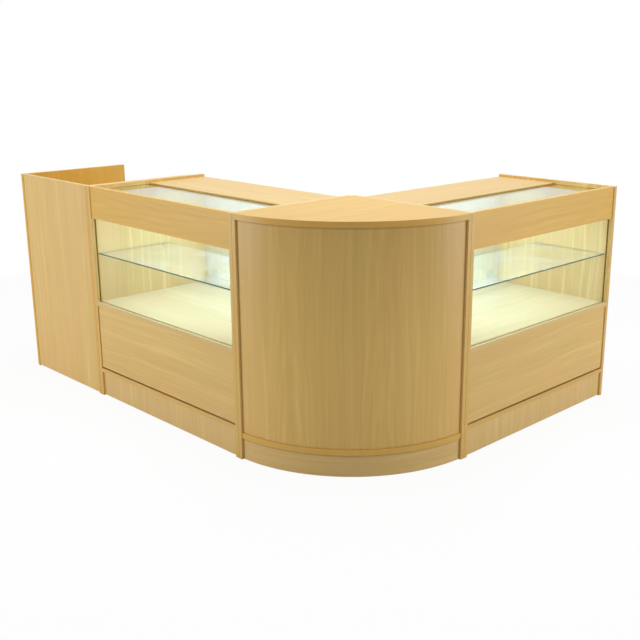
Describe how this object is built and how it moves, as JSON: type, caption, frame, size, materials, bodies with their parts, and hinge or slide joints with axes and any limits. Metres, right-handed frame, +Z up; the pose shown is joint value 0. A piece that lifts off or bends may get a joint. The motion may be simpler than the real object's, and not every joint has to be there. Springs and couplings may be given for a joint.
{
  "type": "checkout counter",
  "caption": "L-shaped shop checkout counter in maple-effect board: a high-sided till block, lit half-glass showcases with sliding rear doors, and a rounded corner unit.",
  "frame": {"origin": "floor level, at the middle of the footprint's bounding box", "axes": "+Z up; the left wing (till block and showcase) runs along X with its customer side facing -Y; the right wing runs along Y with its customer side facing +X; the staff stand in the corner towards -X and +Y"},
  "size_m": [2.212, 1.611, 0.95],
  "materials": {
    "maple_board": "satin maple-effect melamine, fine grain, matching edge band",
    "clear_glass": "clear float glass with polished green edges",
    "aluminium_profile": "satin anodised extrusion",
    "zinc_steel": "bright zinc plate",
    "opal_lens": "opal light diffuser",
    "black_plastic": "moulded, fine texture",
    "drawer_board": "pale drawer-side board"
  },
  "bodies": {
    "counter": {"left_case_end_panel_l": "maple_board", "left_case_end_panel_r": "maple_board", "left_case_fascia": "maple_board", "left_case_worktop": "maple_board", "left_case_top_glass": "clear_glass", "left_case_front_glass": "clear_glass", "left_case_deck": "maple_board", "left_case_base_board": "maple_board", "left_case_lower_panel": "maple_board", "left_case_plinth": "maple_board", "left_case_glass_shelf": "clear_glass", "left_case_shelf_peg_fl": "zinc_steel", "left_case_shelf_peg_fr": "zinc_steel", "left_case_shelf_peg_rl": "zinc_steel", "left_case_shelf_peg_rr": "zinc_steel", "left_case_light_channel": "aluminium_profile", "left_case_light_diffuser": "opal_lens", "left_case_bottom_track": "aluminium_profile", "left_case_top_track": "aluminium_profile", "right_case_end_panel_l": "maple_board", "right_case_end_panel_r": "maple_board", "right_case_fascia": "maple_board", "right_case_worktop": "maple_board", "right_case_top_glass": "clear_glass", "right_case_front_glass": "clear_glass", "right_case_deck": "maple_board", "right_case_base_board": "maple_board", "right_case_lower_panel": "maple_board", "right_case_plinth": "maple_board", "right_case_glass_shelf": "clear_glass", "right_case_shelf_peg_fl": "zinc_steel", "right_case_shelf_peg_fr": "zinc_steel", "right_case_shelf_peg_rl": "zinc_steel", "right_case_shelf_peg_rr": "zinc_steel", "right_case_light_channel": "aluminium_profile", "right_case_light_diffuser": "opal_lens", "right_case_bottom_track": "aluminium_profile", "right_case_top_track": "aluminium_profile", "corner_top": "maple_board", "corner_side_panel_l": "maple_board", "corner_side_panel_r": "maple_board", "corner_curved_front": "maple_board", "corner_former": "maple_board", "corner_base_board": "maple_board", "corner_curved_plinth": "maple_board", "till_side_panel_l": "maple_board", "till_side_panel_r": "maple_board", "till_front_panel": "maple_board", "till_worktop": "maple_board", "till_base_shelf": "maple_board", "till_runner_l": "zinc_steel", "till_runner_r": "zinc_steel"},
    "left_door_l": {"left_case_door_l": "maple_board"},
    "left_door_r": {"left_case_door_r": "maple_board"},
    "right_door_l": {"right_case_door_l": "maple_board"},
    "right_door_r": {"right_case_door_r": "maple_board"},
    "till_drawer": {"till_drawer_front": "maple_board", "till_drawer_box": "drawer_board"},
    "left_switch": {"left_case_light_switch": "black_plastic"},
    "right_switch": {"right_case_light_switch": "black_plastic"}
  },
  "joints": [
    {"name": "left_door_l_slide", "type": "slide", "parent": "counter", "child": "left_door_l", "axis": [1, 0, 0], "range_m": [0, 0.467]},
    {"name": "left_door_r_slide", "type": "slide", "parent": "counter", "child": "left_door_r", "axis": [-1, 0, 0], "range_m": [0, 0.467]},
    {"name": "right_door_l_slide", "type": "slide", "parent": "counter", "child": "right_door_l", "axis": [0, 1, 0], "range_m": [0, 0.467]},
    {"name": "right_door_r_slide", "type": "slide", "parent": "counter", "child": "right_door_r", "axis": [0, -1, 0], "range_m": [0, 0.467]},
    {"name": "till_drawer_slide", "type": "slide", "parent": "counter", "child": "till_drawer", "axis": [0, 1, 0], "range_m": [0, 0.35]},
    {"name": "left_switch_rock", "type": "hinge", "parent": "counter", "child": "left_switch", "pos_m": [0.425, -0.762, 0.848], "axis": [-1, 0, 0], "range_deg": [0, 16]},
    {"name": "right_switch_rock", "type": "hinge", "parent": "counter", "child": "right_switch", "pos_m": [1.0625, 0.7355, 0.848], "axis": [0, -1, 0], "range_deg": [0, 16]}
  ]
}
